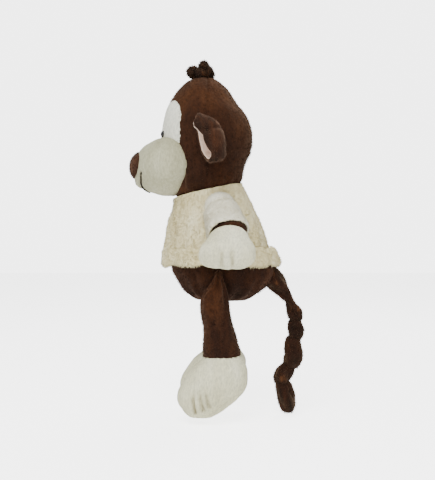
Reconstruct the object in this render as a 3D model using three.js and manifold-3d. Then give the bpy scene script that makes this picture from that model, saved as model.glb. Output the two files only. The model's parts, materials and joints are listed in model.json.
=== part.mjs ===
// A stuffed toy monkey, 400 mm tall, with its limbs, head, ears and tail as jointed, stuffed pieces.
// Millimetres. +Z is up, the monkey faces -Y and its left side is +X.
// The origin is the centre of the small flat seat under the body.
import * as THREE from 'three';
import { mergeVertices } from 'three/addons/utils/BufferGeometryUtils.js';
import Module from 'manifold-3d';

const wasm = await Module();
wasm.setup();

// ---------------------------------------------------------------- driving dimensions
const CLOTH = 2; // plush, backing and pile together
const GAP = 0.4; // between pieces that touch
const PLAY = 0.9; // between pieces that turn in each other
const FILL = CLOTH + 0.8; // from a skin's outside to the stuffing in it
const SIDES = 14; // facets round the head, body and shirt
const LIMB_SIDES = 10;
const TAIL_SIDES = 8;
const FAR = 200; // beyond every surface, for cutting blocks

const COLLAR_TILT = 12.4; // degrees, the collar is higher at the back
const HEAD_BALL = 44; // radius of the rounded underside of the head
const NECK_PIVOT = new THREE.Vector3(0, -23.8, 149.6);
const NECK_HOLE = 9; // radius of the hole in the body for the neck
const HEAD_HOLE = 24; // radius of the hole in the head for the neck
const NECK_CORE = 8;
const HEAD_SEAM = -18; // the seam over the head from ear to ear, in Y
const SHIRT_SEAM = -15;
const HEM_CLOTH = 3.6; // the rolled hem is thicker

const SHOULDER = new THREE.Vector3(40, -4, 104);
const ROOT_BALL = 15; // arm root inside the body
const ROOT_CAP = 21.4; // arm root outside the shirt
const ROOT_CAP_ANGLE = 0.98; // radians from the shoulder's axis to the edge of the cap
const CAP_PLAY = 1.8; // between the cap and the sleeve that slides over it
const SIDE_AT_SHOULDER = 8; // shirt side, measured out from the shoulder's centre
const SIDE_SLOPE = 0.2; // how fast the shirt widens away from the shoulder
const WRIST = new THREE.Vector3(70, 5, 76);
const WRIST_BALL = 13;
const BALL_ROOM = 1.2; // round a limb's ball, in the stuffing next to it
const HAND_END = new THREE.Vector3(101, 3.5, 41);

const HIP = new THREE.Vector3(40, -6, 33);
const ANKLE = new THREE.Vector3(40, -2, -57);
const ANKLE_BALL = 15;

const MUZZLE_CENTRE = new THREE.Vector3(0, -61, 152.5);
const MUZZLE_HALF = new THREE.Vector3(47, 41.5, 33);
const MOUTH_HALF = 25; // the smile is this wide to each side,
const MOUTH_LOW = 125.5; // this high at its middle
const MOUTH_RISE = 18; // and this much higher at its corners
const MOUTH_CURVE = 1.6;
const THREAD_RADIUS = 0.7;

const X_AXIS = new THREE.Vector3(1, 0, 0);
const Y_AXIS = new THREE.Vector3(0, 1, 0);
const Z_AXIS = new THREE.Vector3(0, 0, 1);

// ---------------------------------------------------------------- materials
const MATERIALS = {
  brown: new THREE.MeshStandardMaterial({ color: 0x4c2f1d, roughness: 0.95, metalness: 0 }),
  cream: new THREE.MeshStandardMaterial({ color: 0xcccbb9, roughness: 0.95, metalness: 0 }),
  shirt: new THREE.MeshStandardMaterial({ color: 0xcec8ab, roughness: 1, metalness: 0 }),
  lining: new THREE.MeshStandardMaterial({ color: 0xcebeaf, roughness: 0.95, metalness: 0 }),
  nose: new THREE.MeshStandardMaterial({ color: 0x513724, roughness: 0.9, metalness: 0 }),
  hair: new THREE.MeshStandardMaterial({ color: 0x3b210c, roughness: 1, metalness: 0 }),
  stuffing: new THREE.MeshStandardMaterial({ color: 0xf0efea, roughness: 1, metalness: 0 }),
  thread: new THREE.MeshStandardMaterial({ color: 0x20140f, roughness: 0.8, metalness: 0 }),
  eye: new THREE.MeshStandardMaterial({ color: 0x0a0908, roughness: 0.15, metalness: 0 }),
  washer: new THREE.MeshStandardMaterial({ color: 0xe8e6df, roughness: 0.6, metalness: 0 }),
};

// ---------------------------------------------------------------- lofted forms
// A station is one oval section: its centre, two unit axes and its half sizes along them.
function station(centre, along, across, halfAlong, halfAcross) {
  return { centre, along, across, halfAlong, halfAcross };
}

// Rows of [height, centre in Y, half width, half depth, tilt in degrees] as a stack of stations.
function stack(rows, x = 0) {
  return rows.map(([z, y, halfWidth, halfDepth, tilt = 0]) => {
    const across = Y_AXIS.clone().applyAxisAngle(X_AXIS, THREE.MathUtils.degToRad(tilt));
    return station(new THREE.Vector3(x, y, z), X_AXIS, across, halfWidth, halfDepth);
  });
}

// Rows of [distance, half thickness, half width] along the line from one point towards another.
function spindle(from, to, rows) {
  const direction = to.clone().sub(from).normalize();
  const turn = new THREE.Quaternion().setFromUnitVectors(Z_AXIS.clone().negate(), direction);
  const along = X_AXIS.clone().applyQuaternion(turn);
  const across = Y_AXIS.clone().applyQuaternion(turn);
  return rows.map(([distance, thick, wide]) => (
    station(from.clone().addScaledVector(direction, distance), along, across, thick, wide)
  ));
}

// The same form with its surface moved in by a distance. Closed ends move in too.
function inset(stations, distance, { start = true, end = true } = {}) {
  const last = stations.length - 1;
  return stations.map((item, i) => {
    const before = stations[Math.max(i - 1, 0)].centre;
    const after = stations[Math.min(i + 1, last)].centre;
    const path = after.clone().sub(before).normalize();
    const part = i / last;
    const shift = (start ? distance * (1 - part) : 0) - (end ? distance * part : 0);
    return {
      ...item,
      centre: item.centre.clone().addScaledVector(path, shift),
      halfAlong: item.halfAlong - distance,
      halfAcross: item.halfAcross - distance,
    };
  });
}

function ovalRing({ centre, along, across, halfAlong, halfAcross }, sides) {
  const ring = [];
  for (let i = 0; i < sides; i++) {
    const angle = (2 * Math.PI * i) / sides;
    ring.push(centre.clone()
      .addScaledVector(along, halfAlong * Math.cos(angle))
      .addScaledVector(across, halfAcross * Math.sin(angle)));
  }
  return ring;
}

function signedVolume(points, index) {
  let volume = 0;
  for (let i = 0; i < index.length; i += 3) {
    const [a, b, c] = [points[index[i]], points[index[i + 1]], points[index[i + 2]]];
    volume += a.dot(b.clone().cross(c)) / 6;
  }
  return volume;
}

// A closed surface through all the stations in turn, with a flat fan at each end.
function loft(stations, sides = SIDES) {
  const rings = stations.map((item) => ovalRing(item, sides));
  const points = rings.flat();
  const first = points.push(stations[0].centre) - 1;
  const last = points.push(stations.at(-1).centre) - 1;
  const top = (rings.length - 1) * sides;
  const index = [];
  for (let i = 0; i < sides; i++) {
    const j = (i + 1) % sides;
    for (let base = 0; base < top; base += sides) {
      index.push(base + i, base + j, base + sides + j, base + i, base + sides + j, base + sides + i);
    }
    index.push(first, j, i, last, top + i, top + j);
  }
  if (signedVolume(points, index) < 0) index.reverse();
  const geometry = new THREE.BufferGeometry().setFromPoints(points);
  geometry.setIndex(index);
  return geometry;
}

// A cloth skin over the form: closed at its start, open at its end.
function skin(stations, sides = SIDES) {
  const inner = inset(stations, CLOTH, { end: false });
  return loft([...stations, ...inner.reverse()], sides);
}

// A cloth tube over the form, open at both ends.
function tube(stations, sides = LIMB_SIDES) {
  const solid = manifold(loft(stations, sides));
  const ends = inset(stations, CLOTH, { start: false, end: false });
  ends[0].centre.addScaledVector(ends[1].centre.clone().sub(ends[0].centre).normalize(), -1);
  ends.at(-1).centre.addScaledVector(ends.at(-1).centre.clone().sub(ends.at(-2).centre).normalize(), 1);
  return solid.subtract(manifold(loft(ends, sides)));
}

// ---------------------------------------------------------------- joining and cutting
function manifold(geometry) {
  const bare = geometry.clone();
  bare.deleteAttribute('normal');
  bare.deleteAttribute('uv');
  const merged = mergeVertices(bare, 1e-4);
  return new wasm.Manifold(new wasm.Mesh({
    numProp: 3,
    vertProperties: new Float32Array(merged.getAttribute('position').array),
    triVerts: new Uint32Array(merged.getIndex().array),
  }));
}

function geometryOf(solid) {
  const mesh = solid.getMesh();
  const geometry = new THREE.BufferGeometry();
  geometry.setAttribute('position', new THREE.BufferAttribute(mesh.vertProperties, 3));
  geometry.setIndex(new THREE.BufferAttribute(mesh.triVerts, 1));
  return geometry;
}

function cut(solid, ...tools) {
  return tools.reduce((rest, tool) => rest.subtract(tool), solid);
}

const BALL_SIDES = 12;

function ball(centre, radius) {
  const geometry = new THREE.SphereGeometry(radius, BALL_SIDES, BALL_SIDES / 2);
  return manifold(geometry.translate(centre.x, centre.y, centre.z));
}

function ellipsoid(centre, half, columns = 18, rows = 10) {
  const geometry = new THREE.SphereGeometry(1, columns, rows);
  geometry.scale(half.x, half.y, half.z);
  return manifold(geometry.translate(centre.x, centre.y, centre.z));
}

function block(low, high) {
  const size = high.clone().sub(low);
  const middle = high.clone().add(low).multiplyScalar(0.5);
  return manifold(new THREE.BoxGeometry(size.x, size.y, size.z).translate(middle.x, middle.y, middle.z));
}

// Everything in front of a seam across the toy, and everything behind it.
function splitAt(seam) {
  const front = block(new THREE.Vector3(-FAR, -FAR, 0), new THREE.Vector3(FAR, seam - GAP / 2, 2 * FAR));
  const back = block(new THREE.Vector3(-FAR, seam + GAP / 2, 0), new THREE.Vector3(FAR, FAR, 2 * FAR));
  return { front, back };
}

// A solid turned about the X direction through a point. The profile is [out along X, radius] pairs.
function turned(centre, side, profile, sides = BALL_SIDES) {
  const points = profile.map(([out, radius]) => new THREE.Vector2(radius, out * side));
  const ordered = side > 0 ? points : points.reverse();
  const geometry = new THREE.LatheGeometry(ordered, sides);
  geometry.rotateZ(-Math.PI / 2);
  return manifold(geometry.translate(centre.x, centre.y, centre.z));
}

function mirrored(vector, side) {
  return new THREE.Vector3(vector.x * side, vector.y, vector.z);
}

// ---------------------------------------------------------------- the model
const monkey = new THREE.Group();

function add(name, material, shape) {
  const geometry = shape.isBufferGeometry ? shape : geometryOf(shape);
  const mesh = new THREE.Mesh(geometry, MATERIALS[material]);
  mesh.name = name;
  monkey.add(mesh);
  return mesh;
}

const neckDirection = Z_AXIS.clone().applyAxisAngle(X_AXIS, THREE.MathUtils.degToRad(COLLAR_TILT));
const neckAcross = Y_AXIS.clone().applyAxisAngle(X_AXIS, THREE.MathUtils.degToRad(COLLAR_TILT));

// A round section square to the neck, at a depth below the neck's pivot.
function neckRing(depth, radius) {
  const centre = NECK_PIVOT.clone().addScaledVector(neckDirection, -depth);
  return station(centre, X_AXIS, neckAcross, radius, radius);
}

// The section at that depth of a ball about the neck's pivot.
function ballRing(radius, depth) {
  return neckRing(depth, Math.sqrt(radius * radius - depth * depth));
}

// ---------------------------------------------------------------- head
const HEAD_ROWS = [
  [254, -22.6, 11, 11.5],
  [249, -23.5, 18.5, 18.5],
  [240, -23.4, 28.5, 28.3],
  [227, -23.4, 38.5, 36.6],
  [210, -19.8, 47.5, 46],
  [195, -18.4, 51.5, 50.4],
  [181, -18.6, 52, 51],
  [168, -19.4, 51, 49.8, 3],
  [156, -20.2, 48, 46.8, 8],
];
const BALL_DEPTHS = [8, 17, 25, 32];

function headForm(grow = 0) {
  const crown = stack(HEAD_ROWS);
  const radius = HEAD_BALL;
  const opening = Math.sqrt(radius * radius - HEAD_HOLE * HEAD_HOLE);
  const under = [...BALL_DEPTHS, opening].map((depth) => ballRing(radius, depth));
  return inset([...crown, ...under], -grow, { end: false });
}

// Room for the neck's core while the head nods and turns.
function neckRoom() {
  return [
    neckRing(HEAD_BALL + 6, HEAD_HOLE + 2),
    neckRing(36.9, HEAD_HOLE - CLOTH),
    neckRing(24, 18.5),
    neckRing(10, 15.5),
    neckRing(0, 13.5),
    neckRing(-9, 9),
  ];
}

function faceOutline(grow) {
  const geometry = new THREE.CylinderGeometry(1, 1, 70, 20);
  geometry.scale(41 + grow, 1, 38 + grow);
  return manifold(geometry.translate(0, -54, 188));
}

const EYE_AT = new THREE.Vector3(15, -67.4, 190);
const EYE_TURN = 18; // degrees that each eye looks out to its side
const EYE_DEPTH = 6; // from the front of the face to the back of the eye's washer

function eyeProfile() {
  return [[0, 0], [1.1, 0], [1.1, 6.6], [4.6, 6.6], [4.3, 8.2], [3.1, 9.7], [1.6, 10.5], [0, 10.7]];
}

// A solid turned about the way an eye looks. The profile is [radius, height] pairs.
function eyeSolid(profile, side, sides = 10) {
  const points = profile.map(([radius, height]) => new THREE.Vector2(radius, height));
  const geometry = new THREE.LatheGeometry(points, sides);
  geometry.rotateX(Math.PI);
  geometry.rotateZ(THREE.MathUtils.degToRad(EYE_TURN * side));
  return manifold(geometry.translate(EYE_AT.x * side, EYE_AT.y + EYE_DEPTH, EYE_AT.z));
}

function mouthLine() {
  const points = [];
  const steps = 8;
  for (let i = -steps; i <= steps; i++) {
    const x = (MOUTH_HALF * i) / steps;
    const z = MOUTH_LOW + MOUTH_RISE * Math.pow(Math.abs(i) / steps, MOUTH_CURVE);
    const across = x / MUZZLE_HALF.x;
    const up = (z - MUZZLE_CENTRE.z) / MUZZLE_HALF.z;
    const depth = Math.sqrt(1 - across * across - up * up);
    const point = new THREE.Vector3(x, MUZZLE_CENTRE.y - MUZZLE_HALF.y * depth, z);
    const normal = point.clone().sub(MUZZLE_CENTRE).divide(MUZZLE_HALF).divide(MUZZLE_HALF).normalize();
    points.push(point.addScaledVector(normal, 1.2));
  }
  return new THREE.CatmullRomCurve3(points);
}

function roundShape(radius, sides) {
  const shape = new THREE.Shape();
  for (let i = 0; i < sides; i++) {
    const angle = (2 * Math.PI * i) / sides;
    const [x, y] = [radius * Math.cos(angle), radius * Math.sin(angle)];
    if (i === 0) shape.moveTo(x, y);
    else shape.lineTo(x, y);
  }
  shape.closePath();
  return shape;
}

function makeHead() {
  const form = headForm();
  const shell = manifold(skin(form));
  const outer = manifold(loft(headForm(GAP)));
  const { front, back } = splitAt(HEAD_SEAM);
  const eyeHoles = [1, -1].map((side) => eyeSolid([[0, -2], [1.5, -2], [1.5, 12], [0, 12]], side));
  const washerRooms = [1, -1].map((side) => eyeSolid([[0, -1], [6, -1], [6, 6], [0, 6]], side));
  add('head_cover_front', 'brown', cut(shell.intersect(front), faceOutline(GAP)));
  add('head_cover_back', 'brown', shell.intersect(back));
  add('face_panel', 'cream', cut(shell.intersect(front).intersect(faceOutline(0)), ...eyeHoles));
  const core = manifold(loft(inset(form, FILL, { end: false })));
  add('head_stuffing', 'stuffing', cut(core, manifold(loft(neckRoom())), ...washerRooms));
  makeMuzzle(outer);
  makeEyes();
  makeTuft(outer);
}

function makeMuzzle(headOuter) {
  const half = MUZZLE_HALF;
  const outside = ellipsoid(MUZZLE_CENTRE, half);
  const inside = ellipsoid(MUZZLE_CENTRE, half.clone().subScalar(CLOTH));
  const filling = ellipsoid(MUZZLE_CENTRE, half.clone().subScalar(FILL));
  add('muzzle_cover', 'cream', cut(outside, inside, headOuter));
  add('muzzle_stuffing', 'stuffing', cut(filling, headOuter));
  const clear = ellipsoid(MUZZLE_CENTRE, half.clone().addScalar(GAP));
  const nose = ellipsoid(new THREE.Vector3(0, -96, 155), new THREE.Vector3(17, 10, 14.5), 16, 10);
  add('nose_pad', 'nose', cut(nose, clear));
  const line = mouthLine();
  add('mouth_stitching', 'thread', new THREE.ExtrudeGeometry(roundShape(THREAD_RADIUS, 5), {
    steps: 20, extrudePath: line, bevelEnabled: false,
  }));
}

function makeEyes() {
  for (const [name, side] of [['left', 1], ['right', -1]]) {
    add(`eye_${name}`, 'eye', eyeSolid(eyeProfile(), side));
    const washer = eyeSolid([[1.5, 0], [5.5, 0], [5.5, 1.4], [1.5, 1.4], [1.5, 0]], side);
    add(`eye_washer_${name}`, 'washer', washer);
  }
}

function makeTuft(headOuter) {
  const lobes = [
    [[0, -34, 258], [7.5, 7.5, 8]],
    [[0, -25, 262], [8, 8, 12]],
    [[0, -17, 259], [7, 6, 9]],
  ].map(([centre, half]) => ellipsoid(new THREE.Vector3(...centre), new THREE.Vector3(...half), 10, 8));
  const joined = lobes.reduce((all, lobe) => all.add(lobe));
  add('hair_tuft', 'hair', cut(joined, headOuter));
}

// ---------------------------------------------------------------- ears
const EAR_BASE = new THREE.Vector3(62.5, 0, 176);
const EAR_MOUTH = new THREE.Vector3(69.5, -26, 178);
const EAR_ROWS = [ // [distance, half width, half height]
  [0, 3, 6],
  [2.5, 7.5, 15],
  [8, 11.5, 21.5],
  [16, 13.3, 24.5],
  [26, 14, 25.5],
];

function earForm(side, depth) {
  const from = mirrored(EAR_BASE, side);
  const direction = mirrored(EAR_MOUTH, side).sub(from).normalize();
  const along = new THREE.Vector3().crossVectors(direction, Z_AXIS).normalize();
  const across = new THREE.Vector3().crossVectors(along, direction);
  const form = EAR_ROWS.map(([distance, wide, tall]) => (
    station(from.clone().addScaledVector(direction, distance), along, across, wide, tall)
  ));
  return inset(form, depth, { end: false });
}

function makeEars() {
  const liner = 1.6;
  for (const [name, side] of [['left', 1], ['right', -1]]) {
    add(`ear_back_${name}`, 'brown', skin(earForm(side, 0), LIMB_SIDES));
    const outer = earForm(side, CLOTH + GAP);
    const inner = earForm(side, CLOTH + GAP + liner);
    add(`ear_lining_${name}`, 'lining', loft([...outer, ...inner.reverse()], LIMB_SIDES));
  }
}

// ---------------------------------------------------------------- body and shirt
const BODY_ROWS = [
  [0, 0, 20, 25],
  [2.4, -1.3, 27, 31],
  [7.4, -0.2, 33.5, 39.3],
  [14, 0.5, 39.5, 47.5],
  [25, 1.4, 44.5, 55],
  [36, -0.3, 47, 58.3],
  [50, -1.5, 48, 57.5],
  [62, -7.2, 47.5, 53],
  [75, -9.5, 46, 50.5],
  [90, -11.2, 43, 47],
  [104, -13, 39, 41, 4],
];
const RIM_DEPTH = 31;
const SOCKET_DEPTHS = [36, 40];

// The body with the hollow on top that the head sits in, from the seat up and over the rim.
function bodyForm(depth) {
  const radius = HEAD_BALL + PLAY + depth;
  const hole = NECK_HOLE;
  const rim = RIM_DEPTH + depth * 1.6;
  const sides = inset(stack(BODY_ROWS), depth, { end: false });
  const edge = Math.sqrt(radius * radius - rim * rim);
  const hollow = SOCKET_DEPTHS.map((level) => ballRing(radius, level + depth));
  const centre = neckRing(Math.sqrt(radius * radius - hole * hole), hole);
  return [...sides, neckRing(rim, edge + CLOTH), neckRing(rim, edge - depth / 2), ...hollow, centre];
}

function bodyShell() {
  const outside = bodyForm(0);
  const inside = bodyForm(CLOTH).filter((item, i) => i !== BODY_ROWS.length);
  return manifold(loft([...outside, ...inside.reverse()]));
}

function bodyCore() {
  const form = bodyForm(FILL).filter((item, i) => i !== BODY_ROWS.length);
  return manifold(loft(form.slice(0, -1).concat(neckRing(HEAD_BALL + PLAY + FILL + GAP, 3))));
}

const SHIRT_ROWS = [
  [59, -8.5, 55.5, 59.2],
  [72, -8.9, 53.5, 56],
  [86, -10.6, 51, 52.8],
  [102, -12.7, 47.5, 47, 3],
  [112, -14.9, 44.5, 42.8, 8],
];
const COLLAR_DEPTH = 26;
const COLLAR_RADIUS = 39;

function shirtForm(depth) {
  const rows = stack(SHIRT_ROWS);
  return inset([...rows, neckRing(COLLAR_DEPTH, COLLAR_RADIUS)], depth, { start: false, end: false });
}

const HEM_ROWS = [
  [38.5, -3.3, 59, 66.4],
  [41, -3.5, 60, 66.8],
  [52, -4, 60, 66.5],
  [58.5, -6, 58, 62.5],
];

// A ring of cloth: an outer stack of sections joined to an inner one. The list closes on itself.
function ringOf(outside, inside, sides = SIDES) {
  const grown = inset(inside, 0, { start: false, end: false });
  grown[0].centre.z -= 1;
  grown.at(-1).centre.addScaledVector(Z_AXIS, 1);
  return manifold(loft(outside, sides)).subtract(manifold(loft(grown, sides)));
}

function makeBody() {
  const rooms = [1, -1].map((side) => ball(mirrored(SHOULDER, side), ROOT_BALL + PLAY));
  add('body_cover', 'brown', cut(bodyShell(), ...rooms));
  add('body_stuffing', 'stuffing', cut(bodyCore(), ...rooms));
  const { front, back } = splitAt(SHIRT_SEAM);
  const shirt = cut(ringOf(shirtForm(0), shirtForm(CLOTH)), ...rooms);
  add('shirt_front', 'shirt', shirt.intersect(front));
  add('shirt_back', 'shirt', shirt.intersect(back));
  const hem = stack(HEM_ROWS);
  add('shirt_hem', 'shirt', ringOf(hem, inset(hem, HEM_CLOTH, { start: false, end: false })));
}

function makeNeck() {
  add('neck_stuffing', 'stuffing', loft([
    neckRing(45, NECK_CORE - 1.5),
    neckRing(43, NECK_CORE),
    neckRing(8, NECK_CORE),
    neckRing(1, NECK_CORE - 2),
    neckRing(-2, NECK_CORE - 5),
  ], LIMB_SIDES));
}

// ---------------------------------------------------------------- arms
const ARM_ROWS = [ // [distance from the shoulder, half thickness, half width]
  [0, 16, 17.5],
  [22, 16, 18],
  [35, 16, 18],
  [43.4, 16, 18],
];
const SLEEVE_ROWS = [
  [0, 18.8, 19.5],
  [18, 19, 20.5],
  [30, 19, 21.4],
  [37.5, 19.4, 22],
];
const HAND_ROWS = [ // [distance from the wrist, half thickness, half width]
  [46.5, 5, 8],
  [41, 13.5, 19.5],
  [34, 18.5, 27],
  [25, 20, 29],
  [17, 18.5, 27],
  [10.5, 15, 20.5],
  [5, 12, 12.3],
  [0, 13, 13],
  [-5, 12, 12],
  [-9, 9.4, 9.4],
];

// Everything on the body's side of a cone about the shoulder: an arm outside it can swing freely.
function sideOfShirt(side, clearance) {
  const wide = 90;
  const out = SIDE_AT_SHOULDER + clearance;
  const profile = [[-60, 0], [-60, wide], [out + SIDE_SLOPE * wide, wide], [out, 0]];
  return turned(mirrored(SHOULDER, side), side, profile);
}

function armRoot(side) {
  const profile = [];
  const steps = 4;
  const inner = Math.PI * 0.75;
  for (let i = 0; i <= steps; i++) {
    const angle = (inner * i) / steps;
    profile.push([-ROOT_BALL * Math.cos(angle), ROOT_BALL * Math.sin(angle)]);
  }
  for (let i = 0; i <= steps; i++) {
    const angle = ROOT_CAP_ANGLE * (1 - i / steps);
    profile.push([ROOT_CAP * Math.cos(angle), ROOT_CAP * Math.sin(angle)]);
  }
  profile[0][1] = 0;
  profile.at(-1)[1] = 0;
  return turned(mirrored(SHOULDER, side), side, profile);
}

function makeArm(name, side) {
  const shoulder = mirrored(SHOULDER, side);
  const wrist = mirrored(WRIST, side);
  const cutters = [sideOfShirt(side, 2 * GAP), ball(shoulder, ROOT_CAP + CAP_PLAY)];
  const arm = spindle(shoulder, wrist, ARM_ROWS);
  const sleeve = spindle(shoulder, wrist, SLEEVE_ROWS);
  const filling = inset(arm, FILL, { start: false, end: false }).slice(0, -1);
  add(`arm_root_${name}`, 'brown', armRoot(side));
  add(`arm_cover_${name}`, 'brown', cut(tube(arm), ...cutters));
  add(`arm_stuffing_${name}`, 'stuffing',
    cut(manifold(loft(filling, LIMB_SIDES)), ...cutters, ball(wrist, WRIST_BALL + BALL_ROOM)));
  add(`sleeve_${name}`, 'shirt', cut(tube(sleeve), ...cutters));
  const hand = spindle(wrist, mirrored(HAND_END, side), HAND_ROWS);
  add(`hand_cover_${name}`, 'cream', skin(hand, LIMB_SIDES));
  add(`hand_stuffing_${name}`, 'stuffing', loft(inset(hand, FILL + GAP, { end: false }), LIMB_SIDES));
}

// ---------------------------------------------------------------- legs
const LEG_ROWS = [ // [height, centre in Y, half width, half depth], centre in X
  [[35, -5.8, 4, 2.6], 53],
  [[26, -6.3, 8, 6], 52],
  [[17, -7.5, 12, 9.5], 50],
  [[5, -10, 15.5, 14.4], 47],
  [[-8, -9.5, 16.5, 15.3], 44],
  [[-22, -7, 17, 15.6], 42],
  [[-38, -4.5, 18, 17.5], 40.5],
  [[-56, -2, 19, 20.3], 40],
];
const FOOT_ROWS = [
  [-126.5, -22, 8, 11],
  [-118.5, -19.5, 18.5, 23],
  [-109, -18.5, 23.5, 32.5],
  [-96, -14, 25, 37],
  [-81, -7.4, 24.3, 33.7],
  [-70, -3.8, 22.5, 29],
  [-63.5, -2.5, 20, 23],
  [-61, -2.2, 14.4, 14.4],
  [-57, -2, ANKLE_BALL, ANKLE_BALL],
  [-51, -2, 13.7, 13.7],
  [-46.5, -2, 10.8, 10.8],
];
// How far out the body's side reaches, by distance from the hip's axis.
const BODY_SIDE = [
  [48, 0], [47.5, 10], [45.5, 20], [41.5, 30], [34.5, 40], [24, 50], [12, 57], [-60, 60], [-60, 0],
];

function makeLeg(name, side) {
  const form = LEG_ROWS.flatMap(([row, x]) => stack([row], x * side));
  const axis = new THREE.Vector3(0, HIP.y, HIP.z);
  const bodySide = turned(axis, side, BODY_SIDE.map(([x, radius]) => [x + GAP, radius]).reverse());
  const ankle = mirrored(ANKLE, side);
  const filling = inset(form, FILL, { end: false }).slice(1);
  add(`leg_cover_${name}`, 'brown', cut(manifold(skin(form, LIMB_SIDES)), bodySide));
  add(`leg_stuffing_${name}`, 'stuffing',
    cut(manifold(loft(filling, LIMB_SIDES)), bodySide, ball(ankle, ANKLE_BALL + BALL_ROOM)));
  const foot = stack(FOOT_ROWS, ankle.x);
  add(`foot_cover_${name}`, 'cream', skin(foot, LIMB_SIDES));
  add(`foot_stuffing_${name}`, 'stuffing', loft(inset(foot, FILL, { end: false }), LIMB_SIDES));
}

// ---------------------------------------------------------------- tail
// [Y, Z, half width] down the tail, lump by lump. Lumps share the pinched point between them.
const TAIL_LUMPS = [
  [[57.5, 23.5, 10.5], [64, 17, 9.8], [70.2, 9, 7], [75.2, 0, 5]],
  [[75.2, 0, 5], [81, -11, 7.4], [82.2, -24, 7.4]],
  [[82.2, -24, 7.4], [82.7, -33, 8.2], [80.3, -43, 7.6]],
  [[80.3, -43, 7.6], [79.5, -53.6, 9.3], [79, -65, 10.4], [74, -77, 8.6]],
  [[74, -77, 8.6], [68.3, -86, 9.3], [67.6, -95, 8.6]],
  [[67.6, -95, 8.6], [70.2, -106, 9.5], [73.6, -117.5, 8.8], [75, -129, 8]],
];

function lump(rows) {
  const curve = new THREE.CatmullRomCurve3(rows.map(([y, z]) => new THREE.Vector3(0, y, z)));
  const length = curve.getLength();
  const rounding = 6;
  const stops = [1.0, 2.0, rounding];
  const middle = [1, 2].map((i) => rounding + ((length - 2 * rounding) * i) / 3);
  const places = [...stops, ...middle, ...stops.map((stop) => length - stop).reverse()];
  return places.map((place) => {
    const part = place / length;
    const toEnd = Math.min(place, length - place) / rounding;
    const round = toEnd < 1 ? Math.sqrt(1 - (1 - toEnd) * (1 - toEnd)) : 1;
    const at = part * (rows.length - 1);
    const before = Math.min(Math.floor(at), rows.length - 2);
    const half = THREE.MathUtils.lerp(rows[before][2], rows[before + 1][2], at - before);
    const across = new THREE.Vector3().crossVectors(curve.getTangentAt(part), X_AXIS);
    return station(curve.getPointAt(part), X_AXIS, across, half * round, half * round);
  });
}

function makeTail() {
  TAIL_LUMPS.forEach((rows, i) => {
    add(`tail_lump_${i + 1}`, 'brown', loft(lump(rows), TAIL_SIDES));
  });
}

makeHead();
makeEars();
makeNeck();
makeBody();
makeTail();
for (const [name, side] of [['left', 1], ['right', -1]]) {
  makeArm(name, side);
  makeLeg(name, side);
}

export default monkey;
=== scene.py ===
import itertools
import json
import math

import bmesh
import bpy
import numpy as np
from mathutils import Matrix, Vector
from mathutils.kdtree import KDTree


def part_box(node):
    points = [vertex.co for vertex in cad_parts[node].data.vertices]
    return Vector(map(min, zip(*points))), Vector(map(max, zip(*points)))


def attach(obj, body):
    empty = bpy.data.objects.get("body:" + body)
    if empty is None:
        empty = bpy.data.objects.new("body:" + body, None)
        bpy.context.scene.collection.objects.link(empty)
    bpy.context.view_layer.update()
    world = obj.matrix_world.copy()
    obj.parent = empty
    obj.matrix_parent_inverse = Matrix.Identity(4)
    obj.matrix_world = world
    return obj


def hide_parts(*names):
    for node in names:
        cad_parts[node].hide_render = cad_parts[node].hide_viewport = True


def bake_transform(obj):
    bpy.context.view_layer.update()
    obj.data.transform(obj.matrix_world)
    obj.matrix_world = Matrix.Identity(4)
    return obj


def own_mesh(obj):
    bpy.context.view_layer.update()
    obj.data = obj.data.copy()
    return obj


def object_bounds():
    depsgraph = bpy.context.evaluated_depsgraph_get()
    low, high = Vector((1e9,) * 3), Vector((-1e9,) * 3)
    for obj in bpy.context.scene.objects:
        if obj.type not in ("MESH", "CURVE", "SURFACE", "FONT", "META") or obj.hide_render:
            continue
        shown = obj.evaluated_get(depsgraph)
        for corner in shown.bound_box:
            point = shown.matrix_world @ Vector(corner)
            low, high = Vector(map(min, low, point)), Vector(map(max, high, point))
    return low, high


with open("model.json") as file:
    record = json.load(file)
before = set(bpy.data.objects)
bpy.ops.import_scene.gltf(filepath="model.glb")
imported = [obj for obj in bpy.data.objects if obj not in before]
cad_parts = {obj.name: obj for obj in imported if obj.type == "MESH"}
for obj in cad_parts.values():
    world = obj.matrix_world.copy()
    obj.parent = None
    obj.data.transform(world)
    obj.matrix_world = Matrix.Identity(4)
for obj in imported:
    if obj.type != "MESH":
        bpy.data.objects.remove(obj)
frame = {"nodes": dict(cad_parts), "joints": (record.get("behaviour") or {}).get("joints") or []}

# The looks of a stuffed toy monkey: plush skins over stuffing, a fluffy shirt, stitching and eyes.
# Lengths are millimetres in the CAD frame: +Z up, the monkey faces -Y, its left side is +X.
CAD_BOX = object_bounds()
MM = 0.001
SIDES = (("left", 1), ("right", -1))

# ---------------------------------------------------------------- places taken from the frame
JOINTS = {joint["name"]: joint for joint in frame["joints"]}


def pivot(name):
    """A joint's place in millimetres."""
    return np.array(JOINTS[name]["pos_m"]) / MM


def box(node):
    """A CAD node's lowest and highest corners in millimetres."""
    low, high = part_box(node)
    return np.array(low) / MM, np.array(high) / MM


NECK = pivot("neck_nod")
NECK_UP = np.array(JOINTS["neck_turn"]["axis"])
SHOULDER = pivot("shoulder_swing_left")
WRIST = pivot("wrist_bend_left")
ANKLE = pivot("ankle_bend_left")

# ---------------------------------------------------------------- surfaces as grids of points


def unit(vectors):
    return vectors / np.maximum(np.linalg.norm(vectors, axis=-1, keepdims=True), 1e-9)


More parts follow.
